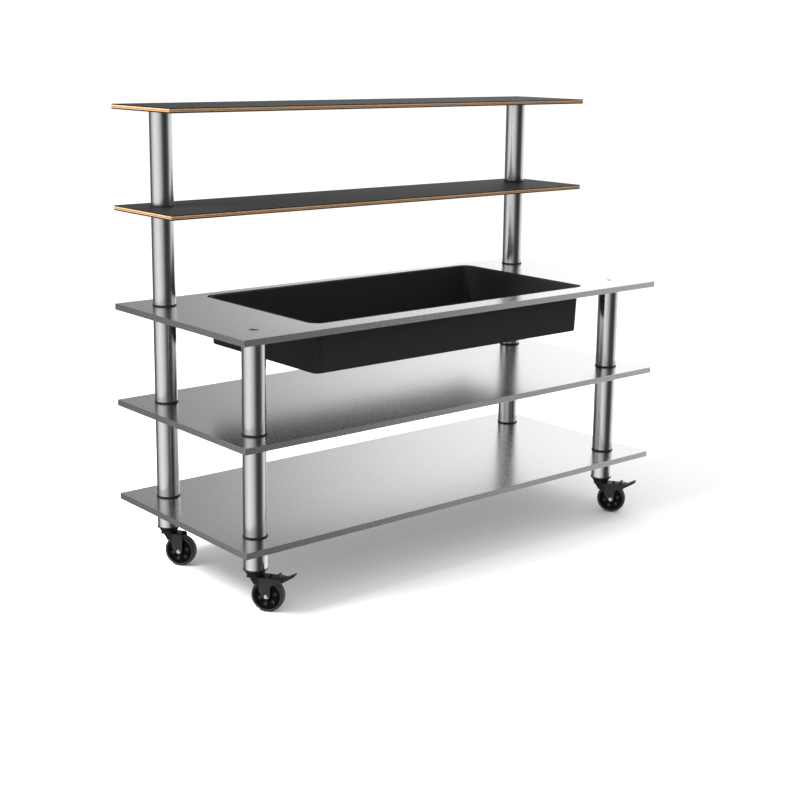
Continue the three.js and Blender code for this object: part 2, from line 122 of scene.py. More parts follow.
# %% [markdown]
# ## A finish
# Every finish here is a Principled shader whose shade, gloss and relief vary together over a grain.
# The grain is one noise texture on Object coordinates, so it stays put on the piece, and its size
# is given in real millimetres. A stretch makes it run along one axis, as brushing does. Values that
# are the same all over are set on the shader's own sockets.

# %% A helper for a finish with a grain
MM = 0.001  # metres
DARK_FROM, LIGHT_FROM = 0.3, 0.7  # noise values where the darker and the lighter shade are reached


def finish(name, grain_mm, shades, roughness, relief_mm, stretch=(1, 1, 1), **sockets):
    """A material with a grain: its shades, roughness and relief go from dark to light together."""
    material = bpy.data.materials.new(name)
    material.use_nodes = True
    tree = material.node_tree
    shader = tree.nodes["Principled BSDF"]
    for socket, value in sockets.items():
        shader.inputs[socket.replace("_", " ")].default_value = value
    place = add_node(tree, "ShaderNodeTexCoord").outputs["Object"]
    spread = add_node(tree, "ShaderNodeMapping", {"Vector": place, "Scale": stretch})
    noise = add_node(
        tree,
        "ShaderNodeTexNoise",
        {"Vector": spread.outputs["Vector"], "Scale": 1 / (grain_mm * MM), "Detail": 2.0},
    ).outputs[0]
    shade = add_node(tree, "ShaderNodeValToRGB", {"Fac": noise})
    for element, level, colour in zip(shade.color_ramp.elements, (DARK_FROM, LIGHT_FROM), shades):
        element.position = level
        element.color = linear(colour)
    gloss = add_node(tree, "ShaderNodeMapRange", {
        "Value": noise, 1: DARK_FROM, 2: LIGHT_FROM, 3: roughness[0], 4: roughness[1]})
    bump = add_node(tree, "ShaderNodeBump", {"Height": noise, "Distance": relief_mm * MM})
    tree.links.new(shade.outputs["Color"], shader.inputs["Base Color"])
    tree.links.new(gloss.outputs["Result"], shader.inputs["Roughness"])
    tree.links.new(bump.outputs["Normal"], shader.inputs["Normal"])
    return material


print("grain shades are reached at noise", DARK_FROM, "and", LIGHT_FROM)

# %% [markdown]
# ## Stainless steel
# The decks are faced with stainless sheet, finished with a random orbital pad: it mirrors what
# stands on it, softly, with a faint mottle and no direction. The tubes are ground lengthwise and
# polished, which gives crisper bright and dark bands down their length. The drain is a polished
# casting, slightly wavy, and the axle bolts are bright zinc plate, a little milky. All of these are
# plain metal in the shader. The tie rods' heads are steel blackened in hot oil, dark grey and dull,
# so they are not: the black layer hides the metal. The deck's real grain is under a tenth of a
# millimetre, so it is drawn at 5 mm to show, and the tubes' at 2 mm, stretched along their length.

# %% Stainless steel finishes
deck_steel = finish("orbital_finished_stainless_sheet", 5, ("#c0c1c1", "#d1d2d2"), (0.17, 0.28),
                    0.034, Metallic=1.0)
tube_steel = finish("ground_and_polished_stainless_tube", 2, ("#c6c7c7", "#cecfcf"), (0.17, 0.21),
                    0.004, (1, 1, 0.02), Metallic=1.0)
drain_steel = finish("polished_stainless_casting", 6, ("#b8babb", "#c8cacb"), (0.16, 0.26), 0.01,
                     Metallic=1.0)
zinc = finish("bright_zinc_plated_steel", 3, ("#c9cccd", "#dfe0dd"), (0.2, 0.34), 0.01,
              Metallic=1.0)
rod_steel = finish("blackened_steel", 3, ("#323335", "#434446"), (0.55, 0.7), 0.02,
                   Specular_IOR_Level=0.15)
print("steel finishes:", deck_steel.name, tube_steel.name, rod_steel.name)

# %% [markdown]
# ## Plastics, rubber and paint
# The wash tub is black moulded polyethylene with a fine matt texture. The leg caps are smoother
# nylon. The wheel centres are polypropylene, jet black and dull on the flat, with pockets that came
# polished from the mould; the pockets are painted a lighter grey than the flat, a painted highlight.
# The pedals are nylon filled with glass, which dulls them. The gaskets and tyres are rubber: matt,
# slightly brown. The castors are pressed steel: the cheeks are under dark grey powder coat, whose
# orange-peel relief softens highlights, and the curved back and swivel head get a darker copy of
# that coat, which is painted shade. Those textures are 0.1 to 0.3 mm on the real pieces, so each
# is drawn at 1 to 4 mm to show.

# %% Plastic, rubber and paint finishes
tub_plastic = finish("matt_black_moulded_polyethylene", 1.6, ("#262627", "#303031"), (0.48, 0.6),
                     0.03, Specular_IOR_Level=0.15)
cap_plastic = finish("black_moulded_nylon", 3, ("#101011", "#161617"), (0.38, 0.5), 0.02, IOR=1.52)
hub_plastic = finish("jet_black_polypropylene", 4, ("#020202", "#050505"), (0.3, 0.42), 0.01,
                     IOR=1.49, Specular_IOR_Level=0.06)
# the pockets' grey, lighter than the jet black flat, is a painted highlight
pocket_with_painted_highlight = finish("pocket_lightened_as_painted_highlight", 4, ("#242424", "#323232"),
                        (0.14, 0.22), 0.01, IOR=1.49)
gasket_rubber = finish("dark_red_brown_gasket_rubber", 2, ("#1d1413", "#2a1d1b"), (0.5, 0.65),
                       0.04, IOR=1.5)
tyre_rubber = finish("grey_brown_tyre_rubber", 1.5, ("#2f2826", "#3a322f"), (0.6, 0.75), 0.06,
                     IOR=1.5)
fork_paint = finish("dark_grey_powder_coat", 1.2, ("#2a2b2c", "#323334"), (0.45, 0.58), 0.04,
                    IOR=1.5, Specular_IOR_Level=0.3)
# a darker copy of the powder coat: painted shade on the housing's curved back and swivel head
shaded_fork_coat = finish("black_dipped_pressed_steel", 1.2, ("#141415", "#1b1b1c"), (0.4, 0.52), 0.03,
                    IOR=1.5, Specular_IOR_Level=0.2)
pedal_plastic = finish("black_glass_filled_nylon", 2, ("#121213", "#1b1b1c"), (0.42, 0.55), 0.04,
                       IOR=1.52, Specular_IOR_Level=0.3)
print("other finishes:", tub_plastic.name, fork_paint.name, tyre_rubber.name)

# %% [markdown]
# ## Film-faced plywood
# The shelves are birch plywood pressed between sheets of black phenolic film. The faces are smooth
# and dark with a soft sheen. The sawn edge shows the plies, light and dark in turn as their grain
# runs along or across, with a dark line where the two halves are glued and one at each face, where
# the film is. The real films and glue lines are a fraction of a millimetre, so they are drawn
# thicker to show. The plies follow the height above the shelf's underside, as a share of its
# thickness, so each shelf has a material of its own, made by one function.

# %% Film and ply edge
film = finish("black_phenolic_film", 5, ("#1a1a1b", "#232324"), (0.5, 0.62), 0.02, IOR=1.55,
              Specular_IOR_Level=0.08)

PLIES = [  # where each layer starts, as a share of the board's thickness, and its colour
    (0.0, "#120e0c"), (0.23, "#b98a62"), (0.32, "#cfa277"), (0.45, "#3b281d"), (0.54, "#dcb48a"),
    (0.64, "#c4976c"), (0.69, "#e8c398"), (0.8, "#120e0c"),
]


def ply_edge_for(node):
    low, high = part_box(node)
    edge = finish("sawn_birch_ply_edge_" + node, 1.5, ("#c8c0b8", "#ffffff"), (0.55, 0.75), 0.05,
                  (0.15, 0.15, 1), Specular_IOR_Level=0.3)
    tree = edge.node_tree
    base_colour = tree.nodes["Principled BSDF"].inputs["Base Color"]
    grain_colour = base_colour.links[0].from_socket
    place = add_node(tree, "ShaderNodeTexCoord").outputs["Object"]
    height = add_node(tree, "ShaderNodeSeparateXYZ", {"Vector": place}).outputs["Z"]
    share = add_node(tree, "ShaderNodeMapRange", {"Value": height, 1: low.z, 2: high.z})
    bands = add_node(tree, "ShaderNodeValToRGB", {"Fac": share.outputs["Result"]})
    bands.color_ramp.interpolation = "CONSTANT"
    stops = bands.color_ramp.elements
    for number, (start, colour) in enumerate(PLIES):
        stop = stops[0] if number == 0 else stops.new(start)
        stop.color = linear(colour)
    stops.remove(stops[-1])
    tint = add_node(tree, "ShaderNodeMixRGB",
                    {"Fac": 1.0, "Color1": bands.outputs["Color"], "Color2": grain_colour},
                    blend_type="MULTIPLY")
    tree.links.new(tint.outputs[0], base_colour)
    return edge


print("shelf faces:", film.name)

# %% [markdown]
# ## Making pieces
# Most pieces are turned: a profile of radii and heights is swept round an axis, as on a lathe. The
# Spin tool could do it, but a profile that starts and ends on the axis then needs its poles merged.
# Here a ring that lies on the axis is a single point from the start, so every shape comes out
# closed.

# %% Turning a profile
SIDES = 96  # round a column or a wheel


def circle_loop(shape, radius, z, sides):
    return [
        shape.verts.new((radius * MM * math.cos(2 * math.pi * i / sides),
                         radius * MM * math.sin(2 * math.pi * i / sides), z * MM))
        for i in range(sides if radius > 0 else 1)
    ]


def turned(profile, sides=SIDES):
    shape = bmesh.new()
    rings = [circle_loop(shape, radius, z, sides) for radius, z in profile]
    closed = profile[0][0] > 0 and profile[-1][0] > 0
    for lower, upper in zip(rings, rings[1:] + ([rings[0]] if closed else [])):
        for i in range(sides):
            corners_of_face = [lower[i % len(lower)], lower[(i + 1) % len(lower)]]
            corners_of_face += [upper[(i + 1) % len(upper)], upper[i % len(upper)]]
            shape.faces.new(dict.fromkeys(corners_of_face))
    bmesh.ops.recalc_face_normals(shape, faces=shape.faces)
    return shape


print("turned pieces have", SIDES, "sides")

# %% [markdown]
# No real corner is quite sharp. A profile's corner is rounded before it is turned, by a few points
# on a curve that leaves one line and joins the next without a kink. A bevel on the finished mesh
# would do it too, but it can't give each corner a radius of its own.

# %% Rounding a profile's corners
def rounded(corner, before, after, radius, steps=4):
    """Points round a corner, tangent to the lines that come from before and go on to after."""
    corner, before, after = Vector(corner), Vector(before), Vector(after)
    into, out = (corner - before).normalized(), (after - corner).normalized()
    reach = radius * math.tan(into.angle(out) / 2)
    start, end = corner - into * reach, corner + out * reach
    points = []
    for i in range(steps + 1):
        t = i / steps
        points.append(tuple((1 - t) ** 2 * start + 2 * t * (1 - t) * corner + t**2 * end))
    return points


def softened(profile, radii, steps=4):
    """A closed or open profile with some of its corners rounded: radii gives each one's radius."""
    points = []
    for i, point in enumerate(profile):
        radius = radii.get(i, 0)
        if radius:
            points += rounded(point, profile[i - 1], profile[(i + 1) % len(profile)], radius, steps)
        else:
            points.append(point)
    return points


print("a rounded corner:", len(rounded((1, 1), (0, 1), (1, 0), 0.2)), "points")

# %% [markdown]
# Shapes stay in mesh code until they are finished. Several can be joined into one, and one can be
# passed through modifiers or a node tree: it becomes an object for a moment, is evaluated, and
# comes back as a new shape with every face on the first material.

# %% Joining and evaluating shapes
def join(*shapes):
    whole = shapes[0]
    for other in shapes[1:]:
        mesh = bpy.data.meshes.new("part")
        other.to_mesh(mesh)
        whole.from_mesh(mesh)
        bpy.data.meshes.remove(mesh)
        other.free()
    return whole


def evaluated(shape, *modifiers, tree=None, **inputs):
    """A shape after some modifiers, or after a node tree whose named inputs are given."""
    mesh = bpy.data.meshes.new("part")
    shape.to_mesh(mesh)
    shape.free()
    maker = new_object("maker", mesh)
    for kind, settings in modifiers:
        modifier = maker.modifiers.new(kind, kind)
        for name, value in settings.items():
            setattr(modifier, name, value)
    if tree:
        modifier = maker.modifiers.new("nodes", "NODES")
        modifier.node_group = tree
        for item in tree.interface.items_tree:
            if item.name in inputs:
                modifier[item.identifier] = inputs[item.name]
    graph = bpy.context.evaluated_depsgraph_get()
    made = bpy.data.meshes.new_from_object(maker.evaluated_get(graph))
    result = bmesh.new()
    result.from_mesh(made)
    for face in result.faces:
        face.material_index = 0
    bpy.data.objects.remove(maker)
    bpy.data.meshes.remove(mesh)
    bpy.data.meshes.remove(made)
    return result


def bevelled(width_mm, sharper_than=30, segments=2):
    """A bevel for evaluated(), on the edges that are sharper than so many degrees."""
    return ("BEVEL", {"width": width_mm * MM, "segments": segments, "limit_method": "ANGLE",
                      "angle_limit": math.radians(sharper_than)})


print("a bevel's settings:", bevelled(0.5))

# %% [markdown]
# The last helper gives a shape its materials and marks the corners that are sharper than a gentle
# bend. A sheet's large flats are kept out of the smooth shading, or the bend at their edge would
# make them look dished. Then it hangs the piece on its body and hides the plain solids it stands
# for.

# %% Adding a piece
SHARP = math.radians(20)
FLAT_AREA = 0.003  # square metres, past which a face is a sheet's flat and isn't shaded as curved
SQUARE_ON = 0.9999  # largest part of the normal of a face that looks straight along an axis


def add_piece(name, shape, materials, body, stands_for=(), place=None, flat=False):
    mesh = bpy.data.meshes.new(name)
    shape.to_mesh(mesh)
    if place is not None:
        mesh.transform(place)
    for material in materials if isinstance(materials, list) else [materials]:
        mesh.materials.append(material)
    mesh.set_sharp_from_angle(angle=SHARP)
    for face in mesh.polygons:
        square_on = max(abs(part) for part in face.normal) > SQUARE_ON
        face.use_smooth = not (flat and square_on or face.area > FLAT_AREA)
    piece = new_object(name, mesh)
    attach(piece, body)
    if stands_for:
        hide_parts(*stands_for)
    return piece


print("smooth across bends up to", round(math.degrees(SHARP)), "degrees")

# %% [markdown]
# ## Columns
# Each column is a stack of short stainless tubes, each clamped between two boards. A tube is a
# cylinder with a wall and a small chamfer at each cut end. Its box gives its axis and its length,
# so one profile makes all sixteen.

# %% Column tubes
TUBE_WALL = 2
TUBE_CHAMFER = 0.4


def axis_of(node):
    low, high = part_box(node)
    return Vector(((low.x + high.x) / 2, (low.y + high.y) / 2, 0))


def round_box(node):
    """An upright round node's radius, foot and top, in millimetres."""
    low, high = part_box(node)
    return (high.x - low.x) / 2 / MM, low.z / MM, high.z / MM


tube_nodes = sorted(name for name in frame["nodes"] if "_tube_" in name)
for node in tube_nodes:
    radius, foot, top = round_box(node)
    inner, cut_end = radius - TUBE_WALL, radius - TUBE_CHAMFER
    profile = [(inner, foot), (cut_end, foot), (radius, foot + TUBE_CHAMFER),
               (radius, top - TUBE_CHAMFER), (cut_end, top), (inner, top)]
    add_piece("column_" + node, turned(profile), tube_steel, "table_frame", [node],
              Matrix.Translation(axis_of(node)))
print(len(tube_nodes), "tubes, radius", round(radius, 2), "mm")

# %% [markdown]
# ## Gasket rings
# A dark rubber ring seats each tube on its board and stands a little proud of the steel. Twelve of
# them repeat up the columns, which is work for Geometry Nodes: the tree sweeps a rounded section
# round a circle once, and sets a copy of it at every point of a mesh of places.

# %% Gasket rings by Geometry Nodes
def new_tree(name, **inputs):
    tree = bpy.data.node_groups.new(name, "GeometryNodeTree")
    tree.interface.new_socket("Geometry", in_out="INPUT", socket_type="NodeSocketGeometry")
    for label, kind in inputs.items():
        tree.interface.new_socket(label, in_out="INPUT", socket_type="NodeSocket" + kind)
    tree.interface.new_socket("Geometry", in_out="OUTPUT", socket_type="NodeSocketGeometry")
    return tree, add_node(tree, "NodeGroupInput").outputs


def end_tree(tree, geometry, material):
    real = add_node(tree, "GeometryNodeRealizeInstances", {"Geometry": geometry})
    painted = add_node(
        tree, "GeometryNodeSetMaterial", {"Geometry": real.outputs[0], "Material": material}
    )
    add_node(tree, "NodeGroupOutput", {"Geometry": painted.outputs[0]})


ring_tree, given = new_tree(
    "gasket_rings", Radius="Float", Width="Float", Height="Float", Rounding="Float",
    Material="Material",
)
path = add_node(ring_tree, "GeometryNodeCurvePrimitiveCircle",
                {"Resolution": SIDES, "Radius": given["Radius"]})
section = add_node(ring_tree, "GeometryNodeCurvePrimitiveQuadrilateral",
                   {"Width": given["Width"], "Height": given["Height"]})
soft_section = add_node(
    ring_tree, "GeometryNodeFilletCurve",
    {"Curve": section.outputs[0], "Radius": given["Rounding"], "Count": 4}, mode="POLY",
)
swept = add_node(ring_tree, "GeometryNodeCurveToMesh",
                 {"Curve": path.outputs[0], "Profile Curve": soft_section.outputs[0]})
placed = add_node(ring_tree, "GeometryNodeInstanceOnPoints",
                  {"Points": given["Geometry"], "Instance": swept.outputs[0]})
end_tree(ring_tree, placed.outputs[0], given["Material"])
print("ring tree:", len(ring_tree.nodes), "nodes")

# %% [markdown]
# The tree needs a mesh with one point at the middle of each ring. All twelve rings are the same
# size, so the last one's box gives the radius and the height.

# %% Gasket rings in their places
RING_WIDTH = 11.5 * MM
RING_ROUNDING = 1.1 * MM

ring_nodes = sorted(name for name in frame["nodes"] if name.startswith("ring_"))
places = bmesh.new()
for node in ring_nodes:
    low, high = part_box(node)
    places.verts.new((low + high) / 2)
shape = evaluated(
    places, tree=ring_tree, Radius=(high.x - low.x) / 2 - RING_WIDTH / 2, Width=RING_WIDTH,
    Height=high.z - low.z, Rounding=RING_ROUNDING, Material=gasket_rubber,
)
bmesh.ops.recalc_face_normals(shape, faces=shape.faces)
add_piece("gasket_rings", shape, gasket_rubber, "table_frame", ring_nodes)
print(len(ring_nodes), "gasket rings")

# %% [markdown]
# ## Boards
# The three decks and two shelves are boards with holes for the tie rods, shallow seats for the
# gaskets and pockets for the rods' heads. A boolean cuts clean round holes, and a small bevel
# breaks every edge, because a real sheet-metal or sawn edge always catches a thin line of light.

# %% Cutting a board
ROD_HOLE = 8.6  # radius, as are the next two
SEAT_RADIUS = 39
HEAD_POCKET_RADIUS = 15.5
HEAD_POCKET_DEPTH = 5.3
SEAT_DEPTH = 1
OVERCUT = 1  # how far a cutter stands out of the board, so that no two faces lie together


def plug(x, y, radius, z0, z1):
    shape = turned([(0, z0), (radius, z0), (radius, z1), (0, z1)], 64)
    bmesh.ops.translate(shape, vec=(x, y, 0), verts=shape.verts)
    return shape


def box_shape(low, high):
    shape = bmesh.new()
    bmesh.ops.create_cube(shape, size=1)
    size, centre = high - low, (low + high) / 2
    for vertex in shape.verts:
        vertex.co = Vector(a * b for a, b in zip(vertex.co, size)) + centre
    return shape


def cut_board(node, cutters, bevel_mm):
    mesh = bpy.data.meshes.new("cutters")
    join(*cutters).to_mesh(mesh)
    tool = new_object("cutters", mesh)
    cut = ("BOOLEAN", {"operation": "DIFFERENCE", "solver": "EXACT", "object": tool})
    shape = evaluated(box_shape(*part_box(node)), cut, bevelled(bevel_mm, 40))
    bpy.data.objects.remove(tool)
    return shape


def column_cutters(node, columns, ends_here):
    _, under, top = round_box(node)
    cutters = []
    for corner in columns:
        x, y = axis_of("leg_tube_" + corner)[:2]
        cutters.append(plug(x, y, ROD_HOLE, under - OVERCUT, top + OVERCUT))
        radius, depth = SEAT_RADIUS, SEAT_DEPTH
        if corner in ends_here:
            radius, depth = HEAD_POCKET_RADIUS, HEAD_POCKET_DEPTH
        cutters.append(plug(x, y, radius, top - depth, top + OVERCUT))
    return cutters


print("rod holes", 2 * ROD_HOLE, "mm, gasket seats", 2 * SEAT_RADIUS, "mm across")

# %% [markdown]
# ## Skins
# The tub, its opening in the deck and the castors' top plates are rounded rectangles that change as
# they rise. One function gives such an outline at a height, and another stretches a skin over a
# stack of them.

# %% Outlines and skins
def outline(half_x, half_y, radius, z, centre, steps=12):
    """A rounded rectangle's points, anticlockwise from above."""
    points = []
    for quarter, (sx, sy) in enumerate(((1, -1), (1, 1), (-1, 1), (-1, -1))):
        for i in range(steps + 1):
            angle = math.pi / 2 * (quarter - 1 + i / steps)
            x = sx * (half_x - radius) + radius * math.cos(angle)
            y = sy * (half_y - radius) + radius * math.sin(angle)
            points.append(Vector((centre.x + x * MM, centre.y + y * MM, z * MM)))
    return points


def bridge(shape, lower, upper):
    for i in range(len(lower)):
        j = (i + 1) % len(lower)
        shape.faces.new((lower[i], lower[j], upper[j], upper[i]))


def skinned(rows, cap=True):
    """A skin between outlines of equal length, closed by a flat face at each end."""
    shape = bmesh.new()
    loops = [[shape.verts.new(point) for point in row] for row in rows]
    for lower, upper in zip(loops, loops[1:]):
        bridge(shape, lower, upper)
    if cap:
        shape.faces.new(reversed(loops[0]))
        shape.faces.new(loops[-1])
    return shape


print("points in an outline:", len(outline(10, 10, 1, 0, Vector())))

# %% [markdown]
# ## Decks
# The decks are the same board three times. The top one also has the tub's opening, with a shallow
# rebate round it that lets the tub's lip lie flush with the steel.

# %% Decks
tub_low, tub_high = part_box("wash_tub")
tub_centre = (tub_low + tub_high) / 2
tub_half_x = (tub_high.x - tub_low.x) / 2 / MM
tub_half_y = (tub_high.y - tub_low.y) / 2 / MM
tub_top, tub_under = tub_high.z / MM, tub_low.z / MM
LIP = 12
LIP_THICKNESS = 2
LIP_CLEARANCE = 0.8  # round the lip, in its rebate
LIP_BED = 0.3  # under the lip
CUTOUT_CLEARANCE = 2
TUB_CORNER = 42
DECK_BEVEL = 0.7

front = [corner for corner in corners if corner.startswith("front")]
rear = [corner for corner in corners if corner.startswith("rear")]
for node in ("bottom_deck", "middle_deck", "top_deck"):
    cutters = column_cutters(node, corners, front if node == "top_deck" else [])
    if node == "top_deck":
        opening = (CUTOUT_CLEARANCE - LIP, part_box(node)[0].z / MM - OVERCUT)
        rebate = (LIP_CLEARANCE, tub_top - LIP_THICKNESS - LIP_BED)
        for grow, foot in (opening, rebate):
            cutters.append(skinned([
                outline(tub_half_x + grow, tub_half_y + grow, TUB_CORNER + grow, z, tub_centre)
                for z in (foot, tub_top + OVERCUT)
            ]))
    shape = cut_board(node, cutters, DECK_BEVEL)
    piece = add_piece(node + "_sheet", shape, deck_steel, "table_frame", [node],
                      flat=True)
    print(piece.name, len(piece.data.polygons), "faces")

# %% [markdown]
# ## Shelves
# The shelves are cut the same way from plywood. Their faces and bevels stay film, and every upright
# face shows the sawn plies, in that shelf's own material.

# %% Shelves
SHELF_BEVEL = 0.5
UPRIGHT = 0.3  # a face whose normal rises less than this is a sawn one

for node, ends_here in (("lower_shelf", []), ("upper_shelf", rear)):
    shape = cut_board(node, column_cutters(node, rear, ends_here), SHELF_BEVEL)
    shape.normal_update()
    for face in shape.faces:
        face.material_index = 1 if abs(face.normal.z) < UPRIGHT else 0
    piece = add_piece(node + "_board", shape, [film, ply_edge_for(node)], "table_frame",
                      [node], flat=True)
    print(piece.name, len(piece.data.polygons), "faces")

# %% [markdown]
# ## Tie rods
# A rod runs down inside each column and pulls its boards together. Only its flat head shows, sunk
# in the top board, with a hexagon socket for the key. The socket is the hole between two outlines:
# the ring-shaped top is filled between a circle and a hexagon.

# %% A head with a hexagon socket
HEAD_CHAMFER = 0.8
SOCKET_ACROSS = 10
SOCKET_DEPTH = 2.6


def fill_between(shape, *loops):
    edges = [shape.edges.get((a, b)) or shape.edges.new((a, b))
             for loop in loops for a, b in zip(loop, loop[1:] + loop[:1])]
    bmesh.ops.triangle_fill(shape, edges=edges, use_beauty=True)


def socket_head(radius, foot, top, sides=48):
    shape = bmesh.new()
    rings = [circle_loop(shape, r, z, sides) for r, z in (
        (radius, foot), (radius, top - HEAD_CHAMFER), (radius - HEAD_CHAMFER, top))]
    bridge(shape, rings[0], rings[1])
    bridge(shape, rings[1], rings[2])
    socket_radius = SOCKET_ACROSS / math.sqrt(3)
    socket = [circle_loop(shape, socket_radius, z, 6) for z in (top, top - SOCKET_DEPTH)]
    bridge(shape, socket[1], socket[0])
    shape.faces.new(socket[1])
    shape.faces.new(rings[0])
    fill_between(shape, rings[2], socket[0])
    bmesh.ops.recalc_face_normals(shape, faces=shape.faces)
    return shape


print("socket", SOCKET_ACROSS, "mm across its flats")

# %% [markdown]
# Each rod's box gives its length and its head's radius. The head's crown rises a little above the
# plain solid's, so that it is nearly flush with the board.

# %% Tie rods
HEAD_CROWN = 0.8  # how much the head's crown rises
HEAD_THICKNESS = 4
ROD_RADIUS = 8
ROD_CHAMFER = 1

for corner in corners:
    radius, foot, top = round_box("tie_rod_" + corner)
    top += HEAD_CROWN
    head_foot = top - HEAD_THICKNESS
    head = socket_head(radius, head_foot, top)
    shaft = turned([(0, foot), (ROD_RADIUS - ROD_CHAMFER, foot), (ROD_RADIUS, foot + ROD_CHAMFER),
                    (ROD_RADIUS, head_foot), (0, head_foot)], 32)
    add_piece("rod_" + corner, join(head, shaft), rod_steel, "table_frame",
              ["tie_rod_" + corner], Matrix.Translation(axis_of("tie_rod_" + corner)))
print(len(corners), "tie rods")

# %% [markdown]
# ## Leg caps
# A black cap closes each leg and carries the castor's kingpin. Its spigot goes up into the tube and
# is out of sight: what shows is a thin rounded rim, a little wider than the steel.

# %% Leg caps
PIN_HEAD, PIN_HEAD_HEIGHT = 9.5, 3.4  # the kingpin's head, in the swivel head below
PIN = 6
RIM_FROM, RIM_TO = 26, 31  # above the kingpin's foot
SPIGOT = 34.5
ROD_SEAT = 11  # how deep the tie rod goes into the spigot

for corner in corners:
    rim, foot, top = round_box("leg_cap_" + corner)
    head_top, rim_foot, rim_top = foot + PIN_HEAD_HEIGHT, foot + RIM_FROM, foot + RIM_TO
    profile = [
        (0, foot), (PIN_HEAD, foot), (PIN_HEAD, head_top), (PIN, head_top), (PIN, rim_foot),
        (rim, rim_foot), (rim, rim_top), (SPIGOT, rim_top), (SPIGOT, top),
        (ROD_HOLE, top), (ROD_HOLE, top - ROD_SEAT), (0, top - ROD_SEAT),
    ]
    shape = turned(softened(profile, {1: 1, 5: 1.4, 6: 1.2, 8: 1.5}))
    add_piece("cap_" + corner, shape, cap_plastic, "table_frame",
              ["leg_cap_" + corner], Matrix.Translation(axis_of("leg_cap_" + corner)))
print("leg caps, rim radius", round(rim, 2), "mm")

# %% [markdown]
# ## Wash tub
# The tub is one moulding with leaning walls, rounded corners and a flat lip. It could be a box with
# a bevel, but a moulded tub's corner radius changes from rim to floor, so it is skinned between
# rounded rectangles: up the outside, over the lip and down the inside. Both floors are then filled
# round the drain hole.

# %% The line of the tub's wall
TUB_WALL = 4
TUB_DRAFT = 7  # how far the wall leans in from rim to floor
FLOOR_ROUND = 6
LIP_ROUND = 6  # where the lip turns down into the tub
tub_floor = tub_under + TUB_WALL

wall_line = [
    (LIP + TUB_DRAFT + FLOOR_ROUND, tub_under),
    (LIP + TUB_DRAFT, tub_under),
    (LIP, tub_top - LIP_THICKNESS),
    (0, tub_top - LIP_THICKNESS),
    (0, tub_top),
    (LIP + TUB_WALL, tub_top),
    (LIP + TUB_DRAFT + TUB_WALL, tub_floor),
    (LIP + TUB_DRAFT + TUB_WALL + FLOOR_ROUND, tub_floor),
]
wall_line = softened(
    wall_line,
    {1: FLOOR_ROUND, 2: 1.5, 3: 0.6, 4: 0.6, 5: LIP_ROUND, 6: FLOOR_ROUND - TUB_WALL}, 6,
)
print("points in the wall's line:", len(wall_line))

# %% [markdown]
# The line is skinned round the tub. Its first and last outlines are the two floors' edges, and each
# floor is filled between that edge and the drain hole.

# %% Wash tub
DRAIN_HOLE = 21.4

tub = skinned(
    [outline(tub_half_x - inset, tub_half_y - inset, max(TUB_CORNER - inset, FLOOR_ROUND), z,
             Vector((0, 0, 0)))
     for inset, z in wall_line],
    cap=False,
)
count = len(tub.verts) // len(wall_line)
tub.verts.ensure_lookup_table()
outside_floor, inside_floor = list(tub.verts[:count]), list(tub.verts[-count:])
holes = [circle_loop(tub, DRAIN_HOLE, z, 48) for z in (tub_under, tub_floor)]
bridge(tub, holes[1], holes[0])
fill_between(tub, outside_floor, holes[0])
fill_between(tub, inside_floor, holes[1])
bmesh.ops.recalc_face_normals(tub, faces=tub.faces)
tub_place = Matrix.Translation((tub_centre.x, tub_centre.y, 0))
piece = add_piece("moulded_tub", tub, tub_plastic, "lift_out_tub", ["wash_tub"],
                  tub_place)
print("tub faces:", len(piece.data.polygons))

# %% [markdown]
# ## Drain
# A dished steel flange lies on the tub's floor and its sleeve goes down through it. A nut with grip
# lugs holds it from below, and a cross of thin bars in the sleeve catches scraps. Lugs and bars
# repeat round an axis, so one small tree turns a single one about that axis as often as it is told.

# %% A tree that repeats round an axis
def turns_round(tree, count, axis, phase=0.0):
    """One point for each copy, and the turn that the copy is given."""
    points = add_node(tree, "GeometryNodePoints", {"Count": count})
    index = add_node(tree, "GeometryNodeInputIndex")
    step = add_node(tree, "ShaderNodeMath", {0: 2 * math.pi, 1: count}, operation="DIVIDE")
    angle = add_node(tree, "ShaderNodeMath", {0: index.outputs[0], 1: step.outputs[0], 2: phase},
                     operation="MULTIPLY_ADD")
    turn = add_node(tree, "FunctionNodeAxisAngleToRotation",
                    {"Axis": axis, "Angle": angle.outputs[0]})
    return {"Points": points.outputs[0], "Rotation": turn.outputs[0]}


around_tree, given = new_tree("repeat_round_an_axis", Count="Int", Axis="Vector",
                              Material="Material")
turns = turns_round(around_tree, given["Count"], given["Axis"])
copies = add_node(around_tree, "GeometryNodeInstanceOnPoints",
                  {"Instance": given["Geometry"], **turns})
end_tree(around_tree, copies.outputs[0], given["Material"])
print("repeating tree:", len(around_tree.nodes), "nodes")

# %% [markdown]
# The flange and the nut are turned, and each gets its repeated pieces from the tree: a bar from the
# sleeve's middle to its wall, and a lug on the nut's rim with its edges broken.

# %% Drain flange with bars, and nut with lugs
BARS, LUGS = 6, 12


def repeated(low, high, count, material):
    """A block between two corners in millimetres, repeated round the upright axis."""
    block = box_shape(Vector(low) * MM, Vector(high) * MM)
    return evaluated(block, tree=around_tree, Count=count, Axis=(0, 0, 1), Material=material)


_, foot, top = round_box("drain_flange")
flange = turned(softened([
    (17, foot), (21, foot), (21, top - 2), (33, top - 2),
    (33, top), (26, top), (20, top - 1.4), (17, top - 4),
], {4: 0.9, 3: 0.5, 1: 0.6}))
bars = repeated((0, -0.8, foot + 3), (17.2, 0.8, foot + 8), BARS, drain_steel)
add_piece("drain_with_bars", join(flange, bars), drain_steel, "lift_out_tub",
          ["drain_flange"], tub_place)

